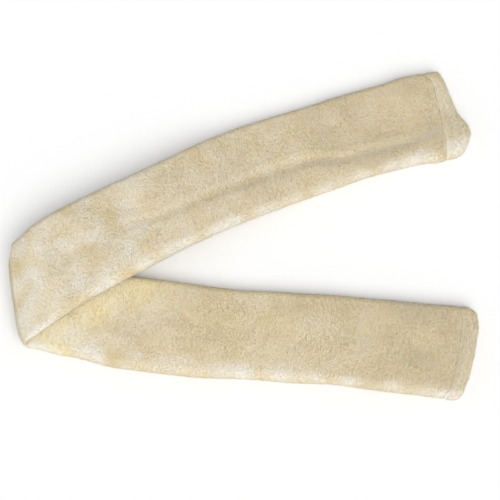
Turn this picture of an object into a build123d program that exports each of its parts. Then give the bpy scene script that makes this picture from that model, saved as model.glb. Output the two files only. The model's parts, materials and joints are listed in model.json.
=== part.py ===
from build123d import *
import math
import os

os.makedirs("parts", exist_ok=True)

# Fleece girth sleeve: a flat open-ended tube of sheared pile, folded once
# slantwise across its middle, the upper leg lying over the lower one.
# Millimetres, +Z up. +X runs along the lower leg from the fold to its mouth.
# The origin is the middle of the lower leg's flat underside.

# the tube as it lies flat
flat_width = 96.0
flat_thickness = 20.0
pile_depth = 5.0
backing_thickness = 1.0
ply_gap = 0.15

# the two legs, measured along their middle lines from the crease
lower_length = 418.0
upper_length = 468.0

# the crease runs across the tube at a slant; the upper leg bows back
crease_angle = 111.5
fold_nose = 7.0
upper_bow = 18.0
layer_gap = 0.3
face_setback = 0.2
drop_start = 140.0
drop_end = 320.0

# long seam, closed inside out and turned
seam_offset_fold = -8.0
seam_offset_lower_mouth = -16.0
seam_offset_upper_mouth = -18.0
valley_width = 7.0
valley_depth = 2.5
allowance_width = 9.0
allowance_thickness = 2.0
seam_thread_diameter = 1.0
seam_thread_slot = 1.4

# turned-in hem at each mouth
hem_length = 13.0
hem_round = 2.5
stitch_groove = 1.6
hem_thread_size = 1.2

# sizes that follow from those above
hole_width = flat_width - 2 * pile_depth
hole_height = flat_thickness - 2 * pile_depth
liner_width = hole_width - 2 * ply_gap
liner_height = hole_height - 2 * ply_gap
channel_width = liner_width - 2 * backing_thickness
channel_height = liner_height - 2 * backing_thickness
mid_height = flat_thickness / 2
channel_floor = mid_height - channel_height / 2

crease = math.radians(crease_angle)
slant = math.radians(crease_angle - 90)
stretch = 1 / math.cos(slant)
crease_centre = (-lower_length / 2, 0)
crease_line = (math.cos(crease), math.sin(crease), 0)
crease_normal = (math.sin(crease), -math.cos(crease), 0)
hinge_height = flat_thickness + layer_gap / 2
upper_base = flat_thickness + layer_gap

lower_pile_end = lower_length - hem_length - stitch_groove
upper_pile_end = upper_length - hem_length - stitch_groove
lower_liner_end = lower_length - hem_length - ply_gap
upper_liner_end = upper_length - hem_length - ply_gap


def crease_plane(setback, base):
    east = crease_centre[0] + setback * crease_normal[0]
    north = crease_centre[1] + setback * crease_normal[1]
    return Plane(origin=(east, north, base), x_dir=crease_line, z_dir=crease_normal)


def smooth(value):
    value = min(1.0, max(0.0, value))
    return value ** 3 * (10 - 15 * value + 6 * value * value)


def upper_heading(along):
    return 2 * crease - math.pi - math.radians(upper_bow) * along / upper_length


def upper_plane(along):
    start = upper_heading(0)
    end = upper_heading(along)
    radius = upper_length / math.radians(upper_bow)
    east = crease_centre[0] - radius * (math.sin(end) - math.sin(start))
    north = crease_centre[1] + radius * (math.cos(end) - math.cos(start))
    drop = smooth((along - drop_start) / (drop_end - drop_start))
    return Plane(
        origin=(east, north, upper_base * (1 - drop)),
        x_dir=(-math.sin(end), math.cos(end), 0),
        z_dir=(math.cos(end), math.sin(end), 0),
    )


def lower_plane(along):
    if along == 0:
        return crease_plane(face_setback, 0)
    return Plane(
        origin=(crease_centre[0] + along, 0, 0),
        x_dir=(0, 1, 0),
        z_dir=(1, 0, 0),
    )


def lower_seam(along):
    if along == 0:
        return seam_offset_fold * stretch
    return seam_offset_fold + (seam_offset_lower_mouth - seam_offset_fold) * along / lower_length


def upper_seam(along):
    return seam_offset_fold + (seam_offset_upper_mouth - seam_offset_fold) * along / upper_length


def upper_stations():
    spacing = upper_length / 14
    return [spacing * count for count in range(-2, 17)]


def trim_upper(end):
    split(bisect_by=crease_plane(face_setback, upper_base), keep=Keep.TOP)
    split(bisect_by=upper_plane(end), keep=Keep.BOTTOM)


def tube_ring(outer_width, outer_height, inner_width, inner_height):
    with Locations((0, mid_height)):
        SlotOverall(outer_width, outer_height)
        SlotOverall(inner_width, inner_height, mode=Mode.SUBTRACT)


# heights of the seam parts: underneath in the lower leg, on top in the upper one
low_allowance = channel_floor + ply_gap + allowance_thickness / 2
high_allowance = flat_thickness - low_allowance
low_slot = channel_floor + ply_gap + allowance_thickness - seam_thread_slot / 2
high_slot = flat_thickness - low_slot

# ---- lower leg: straight, its underside flat on the ground

with BuildPart() as lower_leg_pile:
    with BuildSketch(lower_plane(lower_pile_end)):
        tube_ring(flat_width, flat_thickness, hole_width, hole_height)
    extrude(amount=-(lower_pile_end + flat_width))
    split(bisect_by=crease_plane(face_setback, 0), keep=Keep.TOP)
    for along in (0, lower_pile_end):
        with BuildSketch(lower_plane(along)):
            with Locations((lower_seam(along), 0)):
                Ellipse(valley_width / 2, valley_depth)
    loft(mode=Mode.SUBTRACT)

with BuildPart() as lower_leg_backing:
    with BuildSketch(lower_plane(lower_liner_end)):
        tube_ring(liner_width, liner_height, channel_width, channel_height)
    extrude(amount=-(lower_liner_end + flat_width))
    split(bisect_by=crease_plane(face_setback, 0), keep=Keep.TOP)

with BuildPart() as lower_leg_seam_allowance:
    for along in (0, lower_liner_end):
        with BuildSketch(lower_plane(along)):
            with Locations((lower_seam(along), low_allowance)):
                Rectangle(allowance_width, allowance_thickness)
            with Locations((lower_seam(along), low_slot)):
                Rectangle(seam_thread_slot, seam_thread_slot, mode=Mode.SUBTRACT)
    loft()

with BuildPart() as lower_leg_seam_thread:
    for along in (0, lower_liner_end):
        with BuildSketch(lower_plane(along)):
            with Locations((lower_seam(along), low_slot)):
                RegularPolygon(seam_thread_diameter / 2, 8)
    loft()

with BuildPart() as lower_leg_hem:
    with BuildSketch(lower_plane(lower_length - hem_length)):
        tube_ring(flat_width, flat_thickness, channel_width, channel_height)
    extrude(amount=hem_length)
    fillet(lower_leg_hem.faces().sort_by(Axis.X)[-1].edges(), radius=hem_round)
    with BuildSketch(lower_plane(lower_length)):
        with Locations((lower_seam(lower_length - hem_length), 0)):
            Ellipse(valley_width / 2, valley_depth)
    extrude(amount=-hem_length, mode=Mode.SUBTRACT)

with BuildPart() as lower_leg_hem_thread:
    with BuildSketch(lower_plane(lower_length - hem_length - stitch_groove / 2 - hem_thread_size / 2)):
        tube_ring(
            hole_width + 2 * hem_thread_size,
            hole_height + 2 * hem_thread_size,
            hole_width,
            hole_height,
        )
    extrude(amount=hem_thread_size)

# ---- fold: the crease section turned half round the hinge line and pressed
# flat, made with the crease along X, +Y up and the legs towards +Z

hinge = Axis((0, hinge_height, 0), (1, 0, 0))
pressed = (1, 1, fold_nose / hinge_height)

with BuildPart() as fold_pile:
    with BuildSketch(Plane.XY):
        tube_ring(
            flat_width * stretch,
            flat_thickness,
            hole_width * stretch,
            hole_height,
        )
        with Locations((lower_seam(0), 0)):
            Ellipse(valley_width / 2, valley_depth, mode=Mode.SUBTRACT)
    revolve(axis=hinge, revolution_arc=180)
    scale(by=pressed)

with BuildPart() as fold_backing:
    with BuildSketch(Plane.XY):
        tube_ring(
            liner_width * stretch,
            liner_height,
            channel_width * stretch,
            channel_height,
        )
    revolve(axis=hinge, revolution_arc=180)
    scale(by=pressed)

with BuildPart() as fold_seam_allowance:
    with BuildSketch(Plane.XY):
        with Locations((lower_seam(0), low_allowance)):
            Rectangle(allowance_width, allowance_thickness)
        with Locations((lower_seam(0), low_slot)):
            Rectangle(seam_thread_slot, seam_thread_slot, mode=Mode.SUBTRACT)
    revolve(axis=hinge, revolution_arc=180)
    scale(by=pressed)

with BuildPart() as fold_seam_thread:
    with BuildSketch(Plane.XY):
        with Locations((lower_seam(0), low_slot)):
            RegularPolygon(seam_thread_diameter / 2, 8)
    revolve(axis=hinge, revolution_arc=180)
    scale(by=pressed)

fold_place = crease_plane(0, 0).location

# ---- upper leg: lies over the lower one, then comes down to the ground

with BuildPart() as upper_leg_pile:
    for along in upper_stations():
        with BuildSketch(upper_plane(along)):
            tube_ring(flat_width, flat_thickness, hole_width, hole_height)
            with Locations((upper_seam(along), flat_thickness)):
                Ellipse(valley_width / 2, valley_depth, mode=Mode.SUBTRACT)
    loft()
    trim_upper(upper_pile_end)

with BuildPart() as upper_leg_backing:
    for along in upper_stations():
        with BuildSketch(upper_plane(along)):
            tube_ring(liner_width, liner_height, channel_width, channel_height)
    loft()
    trim_upper(upper_liner_end)

with BuildPart() as upper_leg_seam_allowance:
    for along in upper_stations():
        with BuildSketch(upper_plane(along)):
            with Locations((upper_seam(along), high_allowance)):
                Rectangle(allowance_width, allowance_thickness)
            with Locations((upper_seam(along), high_slot)):
                Rectangle(seam_thread_slot, seam_thread_slot, mode=Mode.SUBTRACT)
    loft()
    trim_upper(upper_liner_end)

with BuildPart() as upper_leg_seam_thread:
    for along in upper_stations():
        with BuildSketch(upper_plane(along)):
            with Locations((upper_seam(along), high_slot)):
                RegularPolygon(seam_thread_diameter / 2, 8)
    loft()
    trim_upper(upper_liner_end)

upper_mouth_axis = Axis((0, 0, 0), upper_plane(upper_length).z_dir)

with BuildPart() as upper_leg_hem:
    with BuildSketch(upper_plane(upper_length - hem_length)):
        tube_ring(flat_width, flat_thickness, channel_width, channel_height)
    extrude(amount=hem_length)
    fillet(upper_leg_hem.faces().sort_by(upper_mouth_axis)[-1].edges(), radius=hem_round)
    with BuildSketch(upper_plane(upper_length - hem_length)):
        with Locations((upper_seam(upper_length - hem_length), flat_thickness)):
            Ellipse(valley_width / 2, valley_depth)
    extrude(amount=hem_length, mode=Mode.SUBTRACT)

with BuildPart() as upper_leg_hem_thread:
    with BuildSketch(upper_plane(upper_length - hem_length - stitch_groove / 2 - hem_thread_size / 2)):
        tube_ring(
            hole_width + 2 * hem_thread_size,
            hole_height + 2 * hem_thread_size,
            hole_width,
            hole_height,
        )
    extrude(amount=hem_thread_size)

# ---- files

lower_leg_pile.part.label = "lower_leg_pile"
export_step(lower_leg_pile.part, "parts/lower_leg_pile.step")
lower_leg_backing.part.label = "lower_leg_backing"
export_step(lower_leg_backing.part, "parts/lower_leg_backing.step")
lower_leg_seam_allowance.part.label = "lower_leg_seam_allowance"
export_step(lower_leg_seam_allowance.part, "parts/lower_leg_seam_allowance.step")
lower_leg_seam_thread.part.label = "lower_leg_seam_thread"
export_step(lower_leg_seam_thread.part, "parts/lower_leg_seam_thread.step")
lower_leg_hem.part.label = "lower_leg_hem"
export_step(lower_leg_hem.part, "parts/lower_leg_hem.step")
lower_leg_hem_thread.part.label = "lower_leg_hem_thread"
export_step(lower_leg_hem_thread.part, "parts/lower_leg_hem_thread.step")
fold_pile.part.locate(fold_place)
fold_pile.part.label = "fold_pile"
export_step(fold_pile.part, "parts/fold_pile.step")
fold_backing.part.locate(fold_place)
fold_backing.part.label = "fold_backing"
export_step(fold_backing.part, "parts/fold_backing.step")
fold_seam_allowance.part.locate(fold_place)
fold_seam_allowance.part.label = "fold_seam_allowance"
export_step(fold_seam_allowance.part, "parts/fold_seam_allowance.step")
fold_seam_thread.part.locate(fold_place)
fold_seam_thread.part.label = "fold_seam_thread"
export_step(fold_seam_thread.part, "parts/fold_seam_thread.step")
upper_leg_pile.part.label = "upper_leg_pile"
export_step(upper_leg_pile.part, "parts/upper_leg_pile.step")
upper_leg_backing.part.label = "upper_leg_backing"
export_step(upper_leg_backing.part, "parts/upper_leg_backing.step")
upper_leg_seam_allowance.part.label = "upper_leg_seam_allowance"
export_step(upper_leg_seam_allowance.part, "parts/upper_leg_seam_allowance.step")
upper_leg_seam_thread.part.label = "upper_leg_seam_thread"
export_step(upper_leg_seam_thread.part, "parts/upper_leg_seam_thread.step")
upper_leg_hem.part.label = "upper_leg_hem"
export_step(upper_leg_hem.part, "parts/upper_leg_hem.step")
upper_leg_hem_thread.part.label = "upper_leg_hem_thread"
export_step(upper_leg_hem_thread.part, "parts/upper_leg_hem_thread.step")
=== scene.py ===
import json
import math
import bmesh
import bpy
from mathutils import Matrix, Vector, noise


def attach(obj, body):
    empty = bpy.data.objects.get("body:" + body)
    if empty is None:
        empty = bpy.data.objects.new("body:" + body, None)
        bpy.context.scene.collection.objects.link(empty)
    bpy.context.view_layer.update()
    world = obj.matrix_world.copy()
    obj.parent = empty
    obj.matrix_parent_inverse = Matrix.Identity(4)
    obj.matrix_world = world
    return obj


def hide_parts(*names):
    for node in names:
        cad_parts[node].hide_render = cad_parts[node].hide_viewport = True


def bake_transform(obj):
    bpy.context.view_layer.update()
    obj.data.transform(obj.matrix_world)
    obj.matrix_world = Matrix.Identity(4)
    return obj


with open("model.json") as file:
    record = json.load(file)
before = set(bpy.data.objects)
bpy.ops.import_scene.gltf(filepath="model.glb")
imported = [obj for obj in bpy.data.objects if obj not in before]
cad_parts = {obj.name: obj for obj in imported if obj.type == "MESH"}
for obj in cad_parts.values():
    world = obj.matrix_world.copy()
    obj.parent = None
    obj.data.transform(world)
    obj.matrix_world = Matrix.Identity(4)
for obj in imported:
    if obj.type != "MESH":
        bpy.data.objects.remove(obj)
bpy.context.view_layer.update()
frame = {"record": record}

mm = 0.001

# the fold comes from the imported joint, so the skins meet where the hinge is
foldJoint = frame["record"]["behaviour"]["joints"][0]
hingePoint = Vector(foldJoint["pos_m"]) / mm
alongCrease = -Vector(foldJoint["axis"]).normalized()
outOfCrease = Vector((-alongCrease.y, alongCrease.x, 0))
foldHeading = 2 * math.atan2(alongCrease.y, alongCrease.x) - math.pi
slant = -alongCrease.x / alongCrease.y

# all sizes in mm; the pairs are (place along the leg, value)
fleece = {
    "roundCount": 112,       # points round the tube
    "ringStep": 4.0,         # between rings along a leg
    "pileRise": 1.5,         # how far the fibre tips stand off the skin
    "height": 17.0,          # of one leg's skin
    "underPile": 0.7,        # share of the rise left under the leg's weight
    "wall": 3.4,             # skin to the inner face of the pile
    "innerEvery": 4,         # the unseen inner face has fewer rings
    "bareInset": 4.4,        # no pile grows further in than this
    "restHeight": 0.7,       # the underside lies this far off the floor, on crushed pile
    "roundOff": 1.9,         # how far the upper ply comes down by the edges
    "broadSize": 58.0,
    "broadLift": 0.9,
    "softSize": 22.0,
    "softLift": 0.28,
    "sideRelief": 0.3,       # share of the unevenness left on the narrow sides
    "underSag": 0.25,        # share of the sag that the lower ply takes up
    "lumps": [(2.6, 0.04), (5.5, 0.06)],   # size and lift of the tufty lumps
}

lowerLeg = {
    "length": 418.0,
    "shift": [(0, 3), (50, 0), (100, -5.5), (175, -6.5), (250, -2.5), (300, 0.5), (418, 1)],
    "width": [(0, 94), (80, 93), (130, 94), (215, 90), (300, 90), (370, 92), (418, 95)],
    "thin": [(0, 4.6), (34, 0.0)],
    "slack": [(350, 0.8), (410, 0.4)],
    "seam": [(0, -8), (418, -16)],
    "seamDepth": [(0, 1.4), (418, 2.0)],
    "seamShade": [(0, 0.2), (418, 0.6)],
    "hemStart": [(-46, 396), (-36, 402), (-20, 405), (0, 407), (30, 409), (46, 405)],
    "mouth": [(-47, 406), (-38, 413), (-20, 418), (0, 421), (25, 423), (40, 421), (48, 411)],
    "dents": [(366, -4, 13, 1.5), (232, 4, 16, 1.0), (120, -14, 18, 1.1), (318, 18, 20, 0.8)],
}

upperLeg = {
    "length": 468.0,
    "bow": math.radians(18),
    "lift": 20.3,            # it lies this high over the lower leg, and comes down between
    "dropStart": 140.0,
    "dropEnd": 320.0,
    "shift": [(0, 3), (60, 5.2), (168, 2), (265, 6.1), (350, 2.7), (420, -2), (468, -6)],
    "width": [(0, 94), (80, 97), (165, 94), (265, 98), (350, 95), (410, 97), (440, 100),
              (468, 99)],
    "thin": [(0, 6.0), (40, 0.0)],
    "slack": [(400, 0.8), (460, 0.4)],
    "seam": [(0, -6), (90, 1), (170, -9), (250, -10), (300, -11), (346, -22), (400, -26),
             (440, -24), (468, -22)],
    "seamDepth": [(0, 0.2), (90, 0.4), (200, 0.8), (300, 1.2), (468, 1.7)],
    "seamShade": [(0, 0.2), (90, 0.45), (250, 0.6), (380, 0.9), (468, 1.0)],
    "hemStart": [(-58, 436), (-38, 444), (-5, 450), (28, 455), (46, 450)],
    "mouth": [(-60, 442), (-55, 452), (-45, 463), (-36, 470), (-27, 471), (-19, 467), (-11, 465),
              (8, 465.5), (26, 466), (40, 465), (49, 456)],
    "dents": [(250, 22, 20, 1.0), (330, 15, 16, 0.9), (405, 12, 15, 0.9), (60, 10, 22, 1.0),
              (196, 30, 15, 0.8)],
}

foldSkin = {
    "steps": 12,
    "nose": 4.6,             # how far the skin stands past the crease
    "noseSlope": -0.095,     # the near end of the crease stands out more
    "cornerCut": 6.0,        # the far end of the crease is rounded off
    "cornerFrom": 26.0,      # the cut begins this far across
    "cornerFade": 34.0,      # and runs out this far up the legs
    "middle": 3.0,
    "halfLength": 52.0,
    "reach": 13.0,           # from the hinge to the skin, on average
    "softenRounds": 4,
    "softenRings": 6,        # on each side of the fold
    "straighten": 62.0,      # the rings turn square to the leg within this
    "joinRing": 3,           # the fold's skin goes this many rings up the outer side of each leg
    "turnsFrom": 8.0,        # heights between which the fold goes over from leg to leg
    "turnsTo": 32.3,
}

hemRoll = {
    "depth": 13.0,
    "leadIn": 60.0,          # the rings slant to meet the hem within this
    # (share of the way from hem seam to lip, inset from the skin)
    "profile": [(-0.2, 4.6), (-0.12, 2.0), (-0.02, 1.0), (0.1, 0.5), (0.26, 0.1), (0.45, -0.2),
                (0.65, 0.1), (0.82, 1.0), (0.94, 2.4), (1.0, 4.2), (0.96, 5.8), (0.8, 6.5),
                (0.4, 6.5), (-0.4, 5.9), (-1.5, 5.2)],
    # (distance from the hem, inset): the leg's skin goes down to the stitching
    "dip": [(9, 0.05), (6, 0.15), (4.2, 0.32), (2.9, 0.6), (1.9, 1.0), (1.2, 1.8), (1.0, 4.8)],
}

seamFall = {
    "nearSpread": 8.0,       # the valley is gentle on its near side
    "farSpread": 3.2,
    "ridge": 0.4,
    "ridgeAway": 8.5,
    "ridgeSpread": 4.5,
}

liner = {
    "width": 82.0,
    "height": 7.6,
    "wall": 0.9,
    "count": 64,             # points round it
    "step": 8.0,             # between its rings
    "thinShare": 0.6,        # it thins less than the skin does
}


def ease(value):
    value = min(1.0, max(0.0, value))
    return value ** 3 * (10 - 15 * value + 6 * value * value)


def reading(table, place):
    # smooth steps between the pairs
    if place <= table[0][0]:
        return table[0][1]
    for (before, low), (after, high) in zip(table, table[1:]):
        if place <= after:
            share = (place - before) / (after - before)
            return low + (high - low) * share * share * (3 - 2 * share)
    return table[-1][1]


def straightReading(table, place):
    if place <= table[0][0]:
        return table[0][1]
    for (before, low), (after, high) in zip(table, table[1:]):
        if place <= after:
            return low + (high - low) * (place - before) / (after - before)
    return table[-1][1]


def heading(leg, along):
    if leg is lowerLeg:
        return 0.0
    return foldHeading - leg["bow"] * along / leg["length"]


def middleLine(leg, along):
    # point on the ground under the middle line, and the direction to its left
    turn = heading(leg, along)
    left = Vector((-math.sin(turn), math.cos(turn), 0))
    ground = Vector((hingePoint.x, hingePoint.y, 0))
    if leg is lowerLeg:
        return ground + Vector((along, 0, 0)), left
    radius = leg["length"] / leg["bow"]
    start = heading(leg, 0)
    ground.x -= radius * (math.sin(turn) - math.sin(start))
    ground.y += radius * (math.cos(turn) - math.cos(start))
    return ground, left


def liftAt(leg, along):
    if leg is lowerLeg:
        return 0.0
    return leg["lift"] * (1 - ease((along - leg["dropStart"]) / (leg["dropEnd"] - leg["dropStart"])))


def slotPoint(share, width, height):
    # a point on a flat oval, with its outward direction; +1 in depth is the inside of the fold
    radius = height / 2
    flat = width - height
    around = 2 * flat + 2 * math.pi * radius
    walk = (share % 1.0) * around
    half = flat / 2
    bend = math.pi * radius
    if walk <= half:
        return walk, -radius, 0.0, -1.0
    if walk <= half + bend:
        angle = (walk - half) / radius
        return half + radius * math.sin(angle), -radius * math.cos(angle), math.sin(angle), -math.cos(angle)
    if walk <= half + bend + flat:
        return half - (walk - half - bend), radius, 0.0, 1.0
    if walk <= half + bend + flat + bend:
        angle = (walk - half - bend - flat) / radius
        return -half - radius * math.sin(angle), radius * math.cos(angle), -math.sin(angle), math.cos(angle)
    return -half + (walk - half - 2 * bend - flat), -radius, 0.0, -1.0


def sinkAt(leg, along, across, upways, width, height):
    # the upper ply of a leg rounds off towards the edges and sags a little between them
    edge = min(1.0, abs(across) / (width / 2 - height / 2))
    onTop = upways * (-1 if leg is upperLeg else 1) > 0
    settled = fleece["roundOff"] * edge ** 3 + reading(leg["slack"], along) * (1 - edge ** 2)
    return settled * abs(upways) * (1.0 if onTop else fleece["underSag"])


def pileRelief(leg, along, across, depth, upways):
    # unevenness of the sheared pile, the same on both sides of the crease
    here = Vector((across, along if leg is upperLeg else -along, depth * 0.8))
    out = noise.noise(here / fleece["broadSize"]) * fleece["broadLift"] * 2
    out += noise.noise(here / fleece["softSize"] + Vector((7, 3, 1))) * fleece["softLift"] * 2
    if upways < 0:
        away = across - reading(leg["seam"], along)
        spread = seamFall["nearSpread"] if away < 0 else seamFall["farSpread"]
        valley = math.exp(-(away / spread) ** 2)
        ridge = math.exp(-((away - seamFall["ridgeAway"]) / seamFall["ridgeSpread"]) ** 2)
        out += (seamFall["ridge"] * ridge - valley) * reading(leg["seamDepth"], along)
    if upways * (-1 if leg is upperLeg else 1) > 0:
        for dentAlong, dentAcross, size, deep in leg["dents"]:
            away = (along - dentAlong) ** 2 + (across - dentAcross) ** 2
            out -= deep * math.exp(-away / size ** 2)
    return out * min(1.0, max(fleece["sideRelief"], abs(upways)))


def spot(leg, place, across, depth):
    # a point of a leg in the frame's own directions
    ground, left = middleLine(leg, place)
    middle = fleece["pileRise"] * fleece["underPile"] + fleece["height"] / 2
    rise = middle + depth if leg is lowerLeg else liftAt(leg, place) + middle - depth
    return ground + left * across + Vector((0, 0, rise))


def turnedPlace(leg, along, across):
    # rings lie along the crease at the fold, turn square, and meet the slanting hem
    skew = slant * across * (1 - ease(along / foldSkin["straighten"]))
    corner = foldSkin["cornerCut"] * ease((across - foldSkin["cornerFrom"]) / foldSkin["cornerFrom"])
    corner *= 1 - ease(along / foldSkin["cornerFade"])
    skew += corner * (1 if leg is upperLeg else -1)
    hemBase = leg["length"] - hemRoll["depth"]
    late = ease((along - hemBase + hemRoll["leadIn"]) / hemRoll["leadIn"])
    hemAway = (straightReading(leg["hemStart"], across) - hemBase) * late
    skew += hemAway * (1 if leg is upperLeg else -1)
    return along + skew if leg is upperLeg else along - skew


def ringAt(leg, along, inset=0.0, relief=True, hemShare=None, oval=None, count=None):
    # one ring of a skin or a lining, and what each point carries: pile, paleness that is partly painted
    # highlight and sheen, painted bounce light, painted seam shade with darkening towards the mouths
    count = count or fleece["roundCount"]
    thin = reading(leg["thin"], along)
    if oval:
        thin *= liner["thinShare"]
    else:
        oval = (reading(leg["width"], along) - 2 * fleece["pileRise"], fleece["height"])
    width, height = oval[0], oval[1] - thin
    ring = []
    cover = []
    for index in range(count):
        across, depth, sideways, upways = slotPoint(index / count, width, height)
        deep = inset * (0.4 + 0.6 * abs(upways) if relief and inset < 4 else 1)
        deep += sinkAt(leg, along, across, upways, width, height)
        if relief:
            deep -= pileRelief(leg, along, across, depth, upways)
        across += reading(leg["shift"], along) - sideways * deep
        depth += thin / 2 - upways * deep
        if hemShare is None:
            place = turnedPlace(leg, along, across)
        else:
            start = straightReading(leg["hemStart"], across)
            place = start + hemShare * (straightReading(leg["mouth"], across) - start)
        ring.append(spot(leg, place, across, depth))
        downward = upways * (-1 if leg is upperLeg else 1) < -0.4
        carried = tufts["underside"] if downward else 1.0
        if inset > fleece["bareInset"]:
            carried = 0.0
        cover.append((carried, palenessAndSheenOf(leg, along, across), paintedBounceLightOf(leg, ring[-1]),
                      seamShadeAndDimnessOf(leg, along, across, upways)))
    return ring, cover


def foldRings(low, high, steps):
    # half a turn from the lower leg's last ring to the upper leg's first one, pressed flat
    rings = []
    for step in range(1, steps):
        share = step / steps
        turn = math.pi * share
        ring = []
        for under, over in zip(low, high):
            reach = (hingePoint.z - under.z) * (1 - share) + (over.z - hingePoint.z) * share
            point = under.lerp(over, share)
            across = (point - hingePoint).dot(alongCrease)
            nose = foldSkin["nose"] + foldSkin["noseSlope"] * across
            nose *= 1 - min(1.0, abs(across - foldSkin["middle"]) / foldSkin["halfLength"]) ** 6
            point.z = hingePoint.z
            point += outOfCrease * reach / foldSkin["reach"] * nose * math.sin(turn)
            point.z -= reach * math.cos(turn)
            ring.append(point)
        rings.append(ring)
    return rings


def facing(index, count):
    # -1 where a ring's point faces out of the fold, +1 where it faces into it
    return slotPoint(index / count, lowerLeg["width"][0][1], fleece["height"])[3]


def soften(rings, first, last, rounds):
    # evens the run of the rings through the fold, except on its inner side
    for _ in range(rounds):
        before = [[point.copy() for point in ring] for ring in rings]
        for number in range(first, last):
            for index, point in enumerate(rings[number]):
                beside = (before[number - 1][index] + before[number + 1][index]) / 2
                share = ease((0.95 - facing(index, len(rings[number]))) / 0.6)
                rings[number][index] = point.lerp(beside, 0.5 * share)


def keepCrisp(edges, creased):
    for edge in edges:
        edge[creased] = 1.0
        edge.smooth = False


def unwrapPipe(bm, roundLayer, ringLayer, around, lengthwise):
    # its own UV map: rings one way, round the tube the other
    unwrap = bm.loops.layers.uv.new("OFBake")
    for face in bm.faces:
        rounds = [corner.vert[roundLayer] for corner in face.loops]
        places = [corner.vert[ringLayer] for corner in face.loops]
        for corner, turned, place in zip(face.loops, rounds, places):
            if max(rounds) - min(rounds) > around / 2 and turned == 0:
                turned = around
            if max(places) - min(places) > 1 and place == 0:
                place = lengthwise
            corner[unwrap].uv = (place / lengthwise, turned / around)


def pipe(name, rings, covers=None, loop=True, crisp=()):
    # a tube drawn out ring by ring from a circle; loop joins its last ring to its first
    bm = bmesh.new()
    bmesh.ops.create_circle(bm, segments=len(rings[0]), radius=1)
    carriedLayers = [bm.verts.layers.float.new(label)
                     for label in ("pileCover", "paleness", "warmth", "dimness")]
    roundLayer = bm.verts.layers.int.new("roundPlace")
    ringLayer = bm.verts.layers.int.new("ringPlace")
    creased = bm.edges.layers.float.new("crease_edge")
    verts = bm.verts[:]
    edges = bm.edges[:]
    firstEdges = edges
    for number, ring in enumerate(rings):
        if number:
            drawn = bmesh.ops.extrude_edge_only(bm, edges=edges)["geom"]
            fresh = {vert for vert in drawn if isinstance(vert, bmesh.types.BMVert)}
            edges = [edge for edge in drawn if isinstance(edge, bmesh.types.BMEdge)]
            following = []
            for vert in verts:
                following.append(next(edge.other_vert(vert) for edge in vert.link_edges
                                      if edge.other_vert(vert) in fresh))
            verts = following
        if number in crisp:
            keepCrisp(edges, creased)
        for index, vert in enumerate(verts):
            vert.co = ring[index]
            vert[roundLayer] = index
            vert[ringLayer] = number
            if covers:
                for layer, value in zip(carriedLayers, covers[number][index]):
                    vert[layer] = value
    if loop:
        keepCrisp(firstEdges + edges, creased)   # the next piece carries on there
        bmesh.ops.bridge_loops(bm, edges=firstEdges + edges)
    else:
        bmesh.ops.holes_fill(bm, edges=firstEdges + edges, sides=0)
    bmesh.ops.recalc_face_normals(bm, faces=bm.faces)
    unwrapPipe(bm, roundLayer, ringLayer, len(rings[0]), len(rings))
    bmesh.ops.scale(bm, vec=(mm, mm, mm), verts=bm.verts)
    piece = finished(name, bm)
    rounder = piece.modifiers.new("Subdivision", "SUBSURF")
    rounder.levels = rounder.render_levels = 1
    settle(piece)
    return piece


def finished(name, bm):
    mesh = bpy.data.meshes.new(name)
    for face in bm.faces:
        face.smooth = True
    bm.to_mesh(mesh)
    bm.free()
    piece = bpy.data.objects.new(name, mesh)
    bpy.context.collection.objects.link(piece)
    return piece


def settle(piece):
    # applies the modifiers
    bpy.context.view_layer.update()
    shown = piece.evaluated_get(bpy.context.evaluated_depsgraph_get())
    mesh = bpy.data.meshes.new_from_object(shown)
    mesh.name = piece.name
    piece.modifiers.clear()
    piece.data = mesh
    for face in mesh.polygons:
        face.use_smooth = True


pileLook = {
    "patch": 34.0,
    "fleck": 1.1,
    "fleckShare": 0.35,
    "sheen": 0.35,
    "body": [(0.3, (0.67, 0.56, 0.33)), (0.5, (0.75, 0.64, 0.42)), (0.7, (0.78, 0.69, 0.50))],
    "hem": [(0.3, (0.68, 0.58, 0.37)), (0.5, (0.76, 0.67, 0.46)), (0.7, (0.79, 0.72, 0.54))],
    # the next three tones: paler, partly painted highlight and sheen; painted bounce light; painted seam
    # shade and darkening
    "pale": (0.82, 0.79, 0.72),
    "bounceLightTone": (0.95, 0.81, 0.46),
    "dim": (0.72, 0.70, 0.66),
    "bounceFrom": 44.0,        # the upper leg's edge, from its middle line
    "bounceAlong": 45.0,
    "bounceReach": 20.0,       # past that edge
    "coveredReach": 9.0,     # and under it
    "through": 0.15,
    "shades": [(0.70, 0.59, 0.36), (0.74, 0.64, 0.42), (0.78, 0.69, 0.49), (0.82, 0.75, 0.58),
               (0.88, 0.85, 0.77)],
}

# where the skin is painted paler: partly whiter pile tips, partly painted highlight and sheen on the lit
# near edges and at the fold
paling = {
    # how far in from the edge it begins, over what width, and how strongly
    "nearEdge": (17, 15, 0.8),
    "farEdge": (8, 8, 0.3),
    "mouth": (26, 16, 0.25),
    "fold": 0.8,
    "foldReach": {"lower": 100, "upper": 260},
    "mottle": 0.55,
    "mottleSize": 17,
    "least": 0.05,
}

# painted shade along the seam's valley, and darker towards the mouths
dimming = {
    "aside": 1.5,            # from the seam
    "spread": 4.2,
    "darkerFrom": 200,         # along the leg
    "darkerShare": 0.4,
}

tufts = {
    "perSquareMm": 1.5,
    "underside": 0.35,       # share of the pile on the side that is lain on
    "length": 2.1,
    "thick": 0.3,
    "lean": (52, 76),        # degrees from standing up
    "size": (0.6, 1.3),      # shortest and longest, as shares of the length
    "combSize": 40.0,        # neighbours this near lean the same way
    "combTurn": 3.2,
    "stray": 0.9,
    # how the five shades, 0 to 4, are shared out
    "byPatch": 3.6,
    "byChance": (-1.0, 0.6),
    # tufts go paler partly for painted highlight and sheen, creamier for painted bounce light, darker for
    # painted seam shade and towards the mouths
    "byPalenessAndSheen": 2.0,
    "byBounceLight": 1.2,
    "bySeamShadeAndDimness": 1.3,
}


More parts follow.
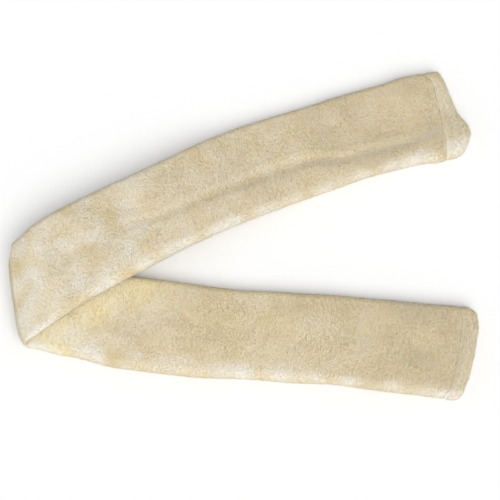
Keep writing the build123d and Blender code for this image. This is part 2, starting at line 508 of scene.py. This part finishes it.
def palenessAndSheenOf(leg, along, across):
    # paler along the edges, at the fold and at the mouths: partly the whiter tips where the pile opens,
    # partly painted highlight and sheen, so the near edges, which face the front light, are painted paler
    # than the far ones
    half = reading(leg["width"], along) / 2
    paler = 0.0
    for place, key in ((-across - half, "nearEdge"), (across - half, "farEdge"),
                       (along - leg["length"], "mouth")):
        begin, over, share = paling[key]
        paler += share * ease((place + begin) / over)
    reach = paling["foldReach"]["upper" if leg is upperLeg else "lower"]
    paler += paling["fold"] * math.exp(-(along / reach) ** 2)
    mottle = paling["mottle"] + noise.noise(Vector((across, along, 3)) / paling["mottleSize"])
    return min(1.0, paler * mottle + paling["least"])


def paintedBounceLightOf(leg, point):
    # painted bounce light: the lower leg is painted creamier and brighter where the upper leg's edge lies
    # over it, standing in for light bounced and shining through there
    if leg is upperLeg:
        return 0.0
    left = middleLine(upperLeg, pileLook["bounceAlong"])[1]
    away = -(point - hingePoint).dot(left) - pileLook["bounceFrom"]
    reach = pileLook["bounceReach"] if away > 0 else pileLook["coveredReach"]
    return math.exp(-(away / reach) ** 2)


def seamShadeAndDimnessOf(leg, along, across, upways):
    # painted shade where the pile parts over the seam, in place of the valley's shadow; and darker towards
    # the mouths
    darkening = dimming["darkerShare"] * ease((along - dimming["darkerFrom"]) / dimming["darkerFrom"])
    if upways < 0:
        away = across - reading(leg["seam"], along) + dimming["aside"]
        darkening += math.exp(-(away / dimming["spread"]) ** 2) * reading(leg["seamShade"], along)
    return min(1.0, darkening)


def feltUp(piece):
    # small tufty lumps that the sheared pile shows close to
    (fine, fineLift), (coarse, coarseLift) = fleece["lumps"]
    normals = [vert.normal.copy() for vert in piece.data.vertices]
    cover = piece.data.attributes["pileCover"].data
    for vert, normal, share in zip(piece.data.vertices, normals, cover):
        here = vert.co / mm
        lump = noise.noise(here / fine) * fineLift
        lump += noise.noise(here / coarse + Vector((4, 4, 4))) * coarseLift
        vert.co += normal * lump * mm * min(1.0, share.value * 2)
        vert.co.z = max(vert.co.z, fleece["restHeight"] * mm)


def shader(name, base, roughness, sheen, through=0.0):
    material = bpy.data.materials.new(name)
    material.use_nodes = True
    surface = material.node_tree.nodes["Principled BSDF"]
    surface.inputs["Base Color"].default_value = (*base, 1)
    surface.inputs["Roughness"].default_value = roughness
    surface.inputs["Sheen Weight"].default_value = sheen
    surface.inputs["Sheen Roughness"].default_value = 0.45
    surface.inputs["Sheen Tint"].default_value = (1.0, 0.97, 0.9, 1)
    surface.inputs["Specular IOR Level"].default_value = 0.25
    if through:
        surface.inputs["Subsurface Weight"].default_value = through
        surface.inputs["Subsurface Radius"].default_value = (1.0, 0.62, 0.3)
        surface.inputs["Subsurface Scale"].default_value = 0.004
    return material, material.node_tree, surface


def mixNode(tree, first, factor, second, way="MIX"):
    # first and factor are outputs, or factor a number; second is an output or a colour
    node = tree.nodes.new("ShaderNodeMix")
    node.data_type = "RGBA"
    node.blend_type = way
    tree.links.new(first, node.inputs[6])
    if isinstance(factor, float):
        node.inputs["Factor"].default_value = factor
    else:
        tree.links.new(factor, node.inputs["Factor"])
    if isinstance(second, tuple):
        node.inputs[7].default_value = (*second, 1)
    else:
        tree.links.new(second, node.inputs[7])
    return node.outputs[2]


def amount(tree, label):
    # what the skin's points carry under that name
    node = tree.nodes.new("ShaderNodeAttribute")
    node.attribute_name = label
    return node.outputs["Fac"]


def cloudyColour(tree, tones, size):
    # patches of several tones over the piece, in its own coordinates
    place = tree.nodes.new("ShaderNodeTexCoord")
    clouds = tree.nodes.new("ShaderNodeTexNoise")
    clouds.inputs["Scale"].default_value = 1 / (size * mm)
    clouds.inputs["Detail"].default_value = 3.0
    clouds.inputs["Roughness"].default_value = 0.55
    ramp = tree.nodes.new("ShaderNodeValToRGB")
    while len(ramp.color_ramp.elements) < len(tones):
        ramp.color_ramp.elements.new(0.5)
    for element, (stop, tone) in zip(ramp.color_ramp.elements, tones):
        element.position = stop
        element.color = (*tone, 1)
    tree.links.new(place.outputs["Object"], clouds.inputs["Vector"])
    tree.links.new(clouds.outputs["Fac"], ramp.inputs["Fac"])
    return place.outputs["Object"], ramp.outputs["Color"]


def fibreBump(tree, surface, place, size, deep, distance):
    # fine relief of the single fibres
    strands = tree.nodes.new("ShaderNodeTexNoise")
    strands.inputs["Scale"].default_value = 1 / (size * mm)
    strands.inputs["Detail"].default_value = 4.0
    strands.inputs["Distortion"].default_value = 0.6
    bump = tree.nodes.new("ShaderNodeBump")
    bump.inputs["Strength"].default_value = deep
    bump.inputs["Distance"].default_value = distance * mm
    tree.links.new(place, strands.inputs["Vector"])
    tree.links.new(strands.outputs["Fac"], bump.inputs["Height"])
    tree.links.new(bump.outputs["Normal"], surface.inputs["Normal"])


def pileMaterial(name, tones):
    # cloudy cream with fine flecks; where the skin says so, painted bounce light makes it creamier, painted
    # seam shade and darkening towards the mouths make it darker, and paleness that is partly painted
    # highlight and sheen makes it paler
    material, tree, surface = shader(name, tones[1][1], 0.92, pileLook["sheen"], pileLook["through"])
    place, colour = cloudyColour(tree, tones, pileLook["patch"])
    flecks = tree.nodes.new("ShaderNodeTexNoise")
    flecks.inputs["Scale"].default_value = 1 / (pileLook["fleck"] * mm)
    flecks.inputs["Detail"].default_value = 5.0
    tree.links.new(place, flecks.inputs["Vector"])
    colour = mixNode(tree, colour, pileLook["fleckShare"], flecks.outputs["Fac"], "SOFT_LIGHT")
    # painted bounce light, then painted seam shade and darkening, then paleness that is partly painted
    # highlight and sheen
    colour = mixNode(tree, colour, amount(tree, "warmth"), pileLook["bounceLightTone"])
    colour = mixNode(tree, colour, amount(tree, "dimness"), pileLook["dim"], "MULTIPLY")
    colour = mixNode(tree, colour, amount(tree, "paleness"), pileLook["pale"])
    tree.links.new(colour, surface.inputs["Base Color"])
    fibreBump(tree, surface, place, 0.8, 0.25, 0.2)
    return material


def clothMaterial(name, look):
    # fine knit seen from its wrong side: ribs one way, loops the other
    material, tree, surface = shader(name, look["light"], 0.85, 0.3)
    place, colour = cloudyColour(tree, [(0.3, look["dark"]), (0.7, look["light"])], 3.0)
    ribs = tree.nodes.new("ShaderNodeTexWave")
    ribs.inputs["Scale"].default_value = 1 / (look["rib"] * mm) / 6.28
    ribs.inputs["Distortion"].default_value = 1.2
    bump = tree.nodes.new("ShaderNodeBump")
    bump.inputs["Strength"].default_value = 0.5
    bump.inputs["Distance"].default_value = 0.2 * mm
    tree.links.new(place, ribs.inputs["Vector"])
    tree.links.new(ribs.outputs["Fac"], bump.inputs["Height"])
    tree.links.new(bump.outputs["Normal"], surface.inputs["Normal"])
    tree.links.new(colour, surface.inputs["Base Color"])
    return material


clothLook = {
    "knitBacking": {"dark": (0.55, 0.47, 0.32), "light": (0.68, 0.60, 0.44), "rib": 1.1},
    "seamEdge": {"dark": (0.50, 0.42, 0.26), "light": (0.64, 0.56, 0.38), "rib": 0.8},
    "sewingThread": {"dark": (0.56, 0.47, 0.30), "light": (0.66, 0.58, 0.40), "rib": 0.35},
}

fleecePile = pileMaterial("fleecePile", pileLook["body"])
hemFleece = pileMaterial("hemFleece", pileLook["hem"])
knitBacking = clothMaterial("knitBacking", clothLook["knitBacking"])
seamEdge = clothMaterial("seamEdge", clothLook["seamEdge"])
sewingThread = clothMaterial("sewingThread", clothLook["sewingThread"])
tuftShades = []
for number, shade in enumerate(pileLook["shades"]):
    tuftShades.append(shader("fleeceTuft" + "ABCDE"[number], shade, 0.8, pileLook["sheen"])[0])
print("finishes ready")


def legStops(leg):
    # where the rings of a leg stand, from the crease to just short of the hem
    last = leg["length"] - hemRoll["depth"] - 14
    count = round(last / fleece["ringStep"])
    return [last * number / count for number in range(count + 1)]


def outerRings(leg):
    rings = []
    covers = []
    for stop in legStops(leg):
        ring, cover = ringAt(leg, stop)
        rings.append(ring)
        covers.append(cover)
    for away, inset in hemRoll["dip"]:
        ring, cover = ringAt(leg, leg["length"] - hemRoll["depth"] - away, inset)
        rings.append(ring)
        covers.append(cover)
    return rings, covers


def innerRings(leg):
    # the inner face, from the mouth back to the crease; its last two rings are the fold's
    stops = legStops(leg)
    join = foldSkin["joinRing"]
    chosen = stops[:join:-fleece["innerEvery"]] + [stops[join], 0.0]
    return [ringAt(leg, stop, fleece["wall"], relief=False)[0] for stop in chosen]


lowOuter, lowCover = outerRings(lowerLeg)
highOuter, highCover = outerRings(upperLeg)
turn = foldRings(lowOuter[0], highOuter[0], foldSkin["steps"])
run = lowOuter[::-1] + turn + highOuter
lowCount = len(lowOuter)
beyond = foldSkin["softenRings"]
soften(run, lowCount - beyond, lowCount + len(turn) + beyond, foldSkin["softenRounds"])
lowOuter = run[:lowCount][::-1]
turn = run[lowCount:lowCount + len(turn)]
highOuter = run[lowCount + len(turn):]

lowInner = innerRings(lowerLeg)
highInner = innerRings(upperLeg)
turnInner = foldRings(lowInner[-1], highInner[-1], foldSkin["steps"])


def bare(rings):
    return [[(0.0, 0.0, 0.0, 0.0)] * len(ring) for ring in rings]


def evened(rings, number):
    # where a ring comes to lie in a smoothed skin that goes on past it
    before, here, after = rings[number - 1], rings[number], rings[number + 1]
    return [(low + mid * 6 + high) / 8 for low, mid, high in zip(before, here, after)]


def slanted(rings, number):
    # the join runs up the outer side of a leg and stays at the crease on its inner side
    join = foldSkin["joinRing"]
    if number >= 2 * join:
        return rings[number]
    count = len(rings[0])
    ring = []
    for index in range(count):
        outer = join * ease((0.6 - facing(index, count)) / 1.6)
        place = outer * number / join
        if number > join:
            place = outer + (number - join) * (2 * join - outer) / join
        below = int(place)
        share = place - below
        first, second = rings[below][index], rings[below + 1][index]
        if isinstance(first, Vector):
            ring.append(first.lerp(second, share))
        else:
            ring.append(tuple(low * (1 - share) + high * share for low, high in zip(first, second)))
    return ring


def joined(outer, cover, inner):
    # the rings of one leg shared out: the leg's own skin from the join on, and the fold's part
    join = foldSkin["joinRing"]
    rings = [slanted(outer, number) for number in range(len(outer))]
    covers = [slanted(cover, number) for number in range(len(cover))]
    edge = evened(rings, join)
    within = slanted([inner[-1]] * join + [inner[-2]] * (join + 2), join)
    # the very edges carry no pile, so that none grows on the walls between outer and inner face
    near = [point.lerp(after, 0.06) for point, after in zip(edge, rings[join + 1])]
    far = [point.lerp(before, 0.06) for point, before in zip(edge, rings[join - 1])]
    plain = [(0.0, *value[1:]) for value in covers[join]]
    legRings = [edge, near] + rings[join + 1:] + inner[:-2] + [within]
    legCovers = [plain] + covers[join:] + bare(inner[:-1])
    return legRings, legCovers, rings[:join] + [far, edge], covers[:join + 1] + [plain], within


lowRings, lowCovers, lowFold, lowFoldCover, lowWithin = joined(lowOuter, lowCover, lowInner)
highRings, highCovers, highFold, highFoldCover, highWithin = joined(highOuter, highCover, highInner)
lowerFleece = pipe("lowerLegFleece", lowRings, lowCovers)
upperFleece = pipe("upperLegFleece", highRings, highCovers)
foldOuter = lowFold[::-1] + turn + highFold
foldInner = [highWithin, highInner[-1]] + turnInner[::-1] + [lowInner[-1], lowWithin]
turnCover = []
for number in range(len(turn)):
    share = (number + 1) / foldSkin["steps"]
    turnCover.append([(1.0, low[1] * (1 - share) + high[1] * share, 0.0, 0.0)
                      for low, high in zip(lowCover[0], highCover[0])])
foldCover = lowFoldCover[::-1] + turnCover + highFoldCover
foldFleece = pipe("foldFleece", foldOuter + foldInner, foldCover + bare(foldInner),
                  crisp=(len(foldOuter) - 1, len(foldOuter)))
print("skins drawn:", len(run), "rings")


def hemRings(leg):
    rings = []
    covers = []
    for share, inset in hemRoll["profile"]:
        along = leg["length"] - hemRoll["depth"] * (1 - max(0.0, min(1.0, share)))
        ring, cover = ringAt(leg, along, inset, hemShare=share)
        rings.append(ring)
        covers.append([(value[0] if share > 0 else 0.0, *value[1:]) for value in cover])
    return rings, covers


lowerHem = pipe("lowerLegHem", *hemRings(lowerLeg))
upperHem = pipe("upperLegHem", *hemRings(upperLeg))
for piece in (lowerFleece, upperFleece, foldFleece, lowerHem, upperHem):
    feltUp(piece)
print("hems rolled")


def linerRings(leg):
    # outer and inner face of the knit lining
    last = leg["length"] - hemRoll["depth"] - 2
    count = round(last / liner["step"])
    oval = (liner["width"], liner["height"])
    stops = [last * number / count for number in range(count + 1)]
    outer = [ringAt(leg, stop, 0, False, None, oval, liner["count"])[0] for stop in stops]
    inner = [ringAt(leg, stop, liner["wall"], False, None, oval, liner["count"])[0] for stop in stops]
    return outer, inner


lowLiner, lowLinerIn = linerRings(lowerLeg)
highLiner, highLinerIn = linerRings(upperLeg)
turnLiner = foldRings(lowLiner[0], highLiner[0], foldSkin["steps"])
turnLinerIn = foldRings(lowLinerIn[0], highLinerIn[0], foldSkin["steps"])
lowerLining = pipe("lowerLegLining", lowLiner[1:] + lowLinerIn[:0:-1])
upperLining = pipe("upperLegLining", highLiner[1:] + highLinerIn[:0:-1])
foldLining = pipe("foldLining", lowLiner[1::-1] + turnLiner + highLiner[:2]
                  + highLinerIn[1::-1] + turnLinerIn[::-1] + lowLinerIn[:2])


def seamDepthInside(leg, along, across):
    # inner face of the lining under the seam
    thin = reading(leg["thin"], along) * liner["thinShare"]
    height = liner["height"] - thin
    sink = sinkAt(leg, along, across, -1, liner["width"], height)
    return thin / 2 - height / 2 + sink + liner["wall"]


allowance = {"width": 8.6, "height": 1.7, "points": 16, "step": 6.0}


def stripRing(leg, along):
    # the seam's turned-in edges, lying flat inside the lining
    ring = []
    middle = reading(leg["seam"], along)
    rise = seamDepthInside(leg, along, middle) + allowance["height"] / 2
    for index in range(allowance["points"]):
        share = index / allowance["points"]
        across, depth, _, _ = slotPoint(share, allowance["width"], allowance["height"])
        across += middle + 0.3 * noise.noise(Vector((along / 9, index, 2)))
        across += reading(leg["shift"], along)
        ring.append(spot(leg, turnedPlace(leg, along, across), across, depth + rise))
    return ring


def stripRings(leg):
    last = leg["length"] - hemRoll["depth"] - 3
    count = round(last / allowance["step"])
    return [stripRing(leg, last * number / count) for number in range(count + 1)]


lowStrip = stripRings(lowerLeg)
highStrip = stripRings(upperLeg)
turnStrip = foldRings(lowStrip[0], highStrip[0], foldSkin["steps"])
lowerStrip = pipe("lowerLegSeamAllowance", lowStrip[1:], loop=False)
upperStrip = pipe("upperLegSeamAllowance", highStrip[1:], loop=False)
foldStrip = pipe("foldSeamAllowance", lowStrip[1::-1] + turnStrip + highStrip[:2], loop=False)


stitches = {"seamPitch": 5.0, "seamLength": 3.6, "thick": 0.9, "hemCount": 46, "hemLength": 3.2}


def stitchRow(name, places, length):
    # places are pairs of points; a stitch lies midway between them, along their line
    bm = bmesh.new()
    half = stitches["thick"] / 2
    for start, end in places:
        turned = (end - start).to_track_quat("X", "Z").to_matrix().to_4x4()
        sized = Matrix.Diagonal((length / 2, half, half, 1))
        bmesh.ops.create_uvsphere(bm, u_segments=8, v_segments=5, radius=1,
                                  matrix=Matrix.Translation((start + end) / 2) @ turned @ sized)
    bmesh.ops.scale(bm, vec=(mm, mm, mm), verts=bm.verts)
    return finished(name, bm)


def seamPoint(leg, along):
    # on top of the allowance, over its middle
    across = reading(leg["seam"], along)
    rise = seamDepthInside(leg, along, across) + allowance["height"] + 0.15
    across += reading(leg["shift"], along)
    return spot(leg, turnedPlace(leg, along, across), across, rise)


def seamStitches(leg):
    last = leg["length"] - hemRoll["depth"] - 6
    count = round(last / stitches["seamPitch"])
    stops = [last * (number + 0.5) / count for number in range(count)]
    return [(seamPoint(leg, stop - 1), seamPoint(leg, stop + 1)) for stop in stops]


lowerSeam = stitchRow("lowerLegSeamStitches", seamStitches(lowerLeg), stitches["seamLength"])
upperSeam = stitchRow("upperLegSeamStitches", seamStitches(upperLeg), stitches["seamLength"])
crossing = foldRings([seamPoint(lowerLeg, 0)], [seamPoint(upperLeg, 0)], 11)
crossingPairs = [(crossing[number][0], crossing[number + 1][0]) for number in (0, 3, 6, 8)]
foldSeam = stitchRow("foldSeamStitches", crossingPairs, stitches["seamLength"] * 0.7)


def hemStitches(leg):
    count = stitches["hemCount"]
    ring = ringAt(leg, leg["length"] - hemRoll["depth"] - 1.5, 2.1, count=count * 4)[0]
    return [(ring[number * 4], ring[number * 4 + 1]) for number in range(count)]


lowerHemStitches = stitchRow("lowerLegHemStitches", hemStitches(lowerLeg), stitches["hemLength"])
upperHemStitches = stitchRow("upperLegHemStitches", hemStitches(upperLeg), stitches["hemLength"])
print("linings and stitches placed")


def tuftShape():
    # one short fibre tip; thousands of them make the pile
    bm = bmesh.new()
    bmesh.ops.create_cone(bm, segments=3, radius1=tufts["thick"] * mm / 2, radius2=0.0,
                          depth=tufts["length"] * mm, cap_ends=True)
    bmesh.ops.translate(bm, vec=(0, 0, tufts["length"] * mm * 0.42), verts=bm.verts)
    shape = finished("tuftShape", bm)
    shape.hide_render = True
    return shape


def pileGrower(skin, shape, low, high, seed):
    # Geometry Nodes: points strewn over the skin, a tuft on each, combed by a slow noise
    tree = bpy.data.node_groups.new("growPile" + skin.name, "GeometryNodeTree")
    tree.interface.new_socket("Geometry", in_out="INPUT", socket_type="NodeSocketGeometry")
    tree.interface.new_socket("Geometry", in_out="OUTPUT", socket_type="NodeSocketGeometry")
    add = tree.nodes.new
    link = tree.links.new

    def working(operation, first, second):
        node = add("ShaderNodeMath")
        node.operation = operation
        for socket, value in zip(node.inputs, (first, second)):
            if isinstance(value, (int, float)):
                socket.default_value = value
            else:
                link(value, socket)
        return node.outputs[0]

    def randomBetween(lowest, highest, number):
        node = add("FunctionNodeRandomValue")
        node.data_type = "FLOAT"
        node.inputs[2].default_value = lowest
        node.inputs[3].default_value = highest
        node.inputs["Seed"].default_value = seed * 10 + number
        return node.outputs[1]

    def reader(name):
        node = add("GeometryNodeInputNamedAttribute")
        node.data_type = "FLOAT"
        node.inputs["Name"].default_value = name
        return node.outputs[0]

    def slowNoise(size, detail):
        node = add("ShaderNodeTexNoise")
        node.inputs["Scale"].default_value = 1 / (size * mm)
        node.inputs["Detail"].default_value = detail
        link(add("GeometryNodeInputPosition").outputs[0], node.inputs["Vector"])
        return node.outputs[0]

    source = add("GeometryNodeObjectInfo")
    source.inputs["Object"].default_value = skin
    tuft = add("GeometryNodeObjectInfo")
    tuft.inputs["Object"].default_value = shape
    scatter = add("GeometryNodeDistributePointsOnFaces")
    scatter.distribute_method = "RANDOM"
    scatter.inputs["Seed"].default_value = seed
    cover = reader("pileCover")
    ringPlace = reader("ringPlace")
    inside = working("MULTIPLY", working("GREATER_THAN", ringPlace, low - 0.5),
                     working("LESS_THAN", ringPlace, high - 0.5))
    thick = working("MULTIPLY", working("MULTIPLY", cover, inside), tufts["perSquareMm"] * 1e6)
    link(thick, scatter.inputs["Density"])
    link(source.outputs["Geometry"], scatter.inputs["Mesh"])

    comb = working("MULTIPLY", slowNoise(tufts["combSize"], 1.0), tufts["combTurn"])
    turned = working("ADD", comb, randomBetween(-tufts["stray"], tufts["stray"], 1))
    lean = randomBetween(math.radians(tufts["lean"][0]), math.radians(tufts["lean"][1]), 2)
    angles = add("ShaderNodeCombineXYZ")
    link(lean, angles.inputs[0])
    link(turned, angles.inputs[2])
    asRotation = add("FunctionNodeEulerToRotation")
    link(angles.outputs[0], asRotation.inputs[0])
    combed = add("FunctionNodeRotateRotation")
    combed.rotation_space = "LOCAL"
    link(scatter.outputs["Rotation"], combed.inputs[0])
    link(asRotation.outputs[0], combed.inputs[1])

    shade = working("MULTIPLY", slowNoise(pileLook["patch"], 2.0), tufts["byPatch"])
    shade = working("ADD", shade, randomBetween(*tufts["byChance"], 3))
    # the tufts are painted paler partly for highlight and sheen, creamier for painted bounce light, and
    # darker for painted seam shade and towards the mouths
    for operation, label, share in (("ADD", "paleness", tufts["byPalenessAndSheen"]),
                                    ("ADD", "warmth", tufts["byBounceLight"]),
                                    ("SUBTRACT", "dimness", tufts["bySeamShadeAndDimness"])):
        shade = working(operation, shade, working("MULTIPLY", reader(label), share))
    shade = working("MINIMUM", working("MAXIMUM", shade, 0.0), 4.4)
    mark = add("GeometryNodeStoreNamedAttribute")
    mark.data_type = "FLOAT"
    mark.domain = "POINT"
    mark.inputs["Name"].default_value = "shade"
    link(scatter.outputs["Points"], mark.inputs["Geometry"])
    link(shade, mark.inputs["Value"])

    stand = add("GeometryNodeInstanceOnPoints")
    link(mark.outputs["Geometry"], stand.inputs["Points"])
    link(tuft.outputs["Geometry"], stand.inputs["Instance"])
    link(combed.outputs[0], stand.inputs["Rotation"])
    link(randomBetween(*tufts["size"], 4), stand.inputs["Scale"])
    real = add("GeometryNodeRealizeInstances")
    link(stand.outputs["Instances"], real.inputs["Geometry"])
    colour = add("GeometryNodeSetMaterialIndex")
    link(real.outputs["Geometry"], colour.inputs["Geometry"])
    link(working("ROUND", reader("shade"), 0.0), colour.inputs["Material Index"])
    result = add("NodeGroupOutput")
    link(colour.outputs["Geometry"], result.inputs[0])
    return tree


def dropExtras(piece, labels):
    for label in labels:
        if label in piece.data.attributes:
            piece.data.attributes.remove(piece.data.attributes[label])


tuft = tuftShape()


def growPile(name, skin, low, high, seed):
    # the pile between two rings of a skin
    bm = bmesh.new()
    bmesh.ops.create_circle(bm, segments=3, radius=mm)
    piece = finished(name, bm)
    grower = piece.modifiers.new("pile", "NODES")
    grower.node_group = pileGrower(skin, tuft, low, high, seed)
    settle(piece)
    for vert in piece.data.vertices:
        vert.co.z = max(vert.co.z, 0.02 * mm)
    for material in tuftShades:
        piece.data.materials.append(material)
    dropExtras(piece, ("shade", "ringPlace", "pileCover", "roundPlace", "paleness", "warmth", "dimness"))
    print(name, len(piece.data.polygons), "faces")
    return piece


lowMiddle = len(lowOuter) // 2
highMiddle = len(highOuter) // 2
lowerPileFold = growPile("lowerLegPileByFold", lowerFleece, 0, lowMiddle, 3)
lowerPileMouth = growPile("lowerLegPileByMouth", lowerFleece, lowMiddle, len(lowOuter), 4)
upperPileFold = growPile("upperLegPileByFold", upperFleece, 0, highMiddle, 5)
upperPileMouth = growPile("upperLegPileByMouth", upperFleece, highMiddle, len(highOuter), 6)
foldPile = growPile("foldPile", foldFleece, 0, len(foldOuter), 7)
lowerHemPile = growPile("lowerLegHemPile", lowerHem, 0, len(hemRoll["profile"]), 8)
upperHemPile = growPile("upperLegHemPile", upperHem, 0, len(hemRoll["profile"]), 9)
bpy.data.objects.remove(tuft)


def dress(piece, material, nodes, body=None):
    # its finish, the body it rides on and the solids it stands for; with no body its placing is applied to
    # its mesh
    if material:
        piece.data.materials.clear()
        piece.data.materials.append(material)
    dropExtras(piece, ("ringPlace", "roundPlace", "pileCover"))
    if body:
        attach(piece, body)
    else:
        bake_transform(piece)
    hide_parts(*nodes)


for body, pieces in (
    ("lower_leg", (lowerFleece, lowerHem, lowerLining, lowerStrip, lowerSeam, lowerHemStitches)),
    ("upper_leg", (upperFleece, upperHem, upperLining, upperStrip, upperSeam, upperHemStitches)),
):
    skin, hem, lining, strip, seam, hemThread = pieces
    dress(skin, fleecePile, [body + "_pile"], body)
    dress(hem, hemFleece, [body + "_hem"], body)
    dress(lining, knitBacking, [body + "_backing"], body)
    dress(strip, seamEdge, [body + "_seam_allowance"], body)
    dress(seam, sewingThread, [body + "_seam_thread"], body)
    dress(hemThread, sewingThread, [body + "_hem_thread"], body)
dress(foldFleece, fleecePile, ["fold_pile"])
dress(foldLining, knitBacking, ["fold_backing"])
dress(foldStrip, seamEdge, ["fold_seam_allowance"])
dress(foldSeam, sewingThread, ["fold_seam_thread"])
dress(lowerPileFold, None, ["lower_leg_pile"], "lower_leg")
dress(lowerPileMouth, None, ["lower_leg_pile"], "lower_leg")
dress(upperPileFold, None, ["upper_leg_pile"], "upper_leg")
dress(upperPileMouth, None, ["upper_leg_pile"], "upper_leg")
dress(lowerHemPile, None, ["lower_leg_hem"], "lower_leg")
dress(upperHemPile, None, ["upper_leg_hem"], "upper_leg")
dress(foldPile, None, ["fold_pile"])
print("pieces joined to their bodies")


# floor, light and camera
studio = {
    "target": (-0.0044, 0.085, 0.0),
    "distance": 1.5,
    "aside": 7.0,
    "above": 65.0,
    "lens": 114.1,
    "floor": (0.92, 0.92, 0.92),
    "floorSize": 20.0,
    "sky": 0.52,
    "sun": 2.35,
    "sunSpread": 45.0,
    "sunPlace": (0.6, -1.4, 1.8),
}

bm = bmesh.new()
bmesh.ops.create_grid(bm, x_segments=2, y_segments=2, size=studio["floorSize"])
floor = finished("studioFloor", bm)
floorMaterial, _, _ = shader("paleFloor", studio["floor"], 0.9, 0.0)
floor.data.materials.append(floorMaterial)

world = bpy.data.worlds.new("studio")
bpy.context.scene.world = world
world.use_nodes = True
world.node_tree.nodes["Background"].inputs["Color"].default_value = (1, 1, 1, 1)
world.node_tree.nodes["Background"].inputs["Strength"].default_value = studio["sky"]

sun = bpy.data.lights.new("frontLight", "SUN")
sun.energy = studio["sun"]
sun.angle = math.radians(studio["sunSpread"])
sunLamp = bpy.data.objects.new("frontLight", sun)
sunLamp.location = studio["sunPlace"]
sunLamp.rotation_euler = sunLamp.location.to_track_quat("Z", "Y").to_euler()
bpy.context.collection.objects.link(sunLamp)

aside = math.radians(studio["aside"])
above = math.radians(studio["above"])
back = Vector((math.sin(aside) * math.cos(above), -math.cos(aside) * math.cos(above), math.sin(above)))
cameraData = bpy.data.cameras.new("studioCamera")
cameraData.lens = studio["lens"]
cameraData.sensor_width = 36.0
camera = bpy.data.objects.new("studioCamera", cameraData)
camera.location = Vector(studio["target"]) + back * studio["distance"]
camera.rotation_euler = back.to_track_quat("Z", "Y").to_euler()
bpy.context.collection.objects.link(camera)
bpy.context.scene.camera = camera
bpy.context.scene.view_settings.view_transform = "Standard"
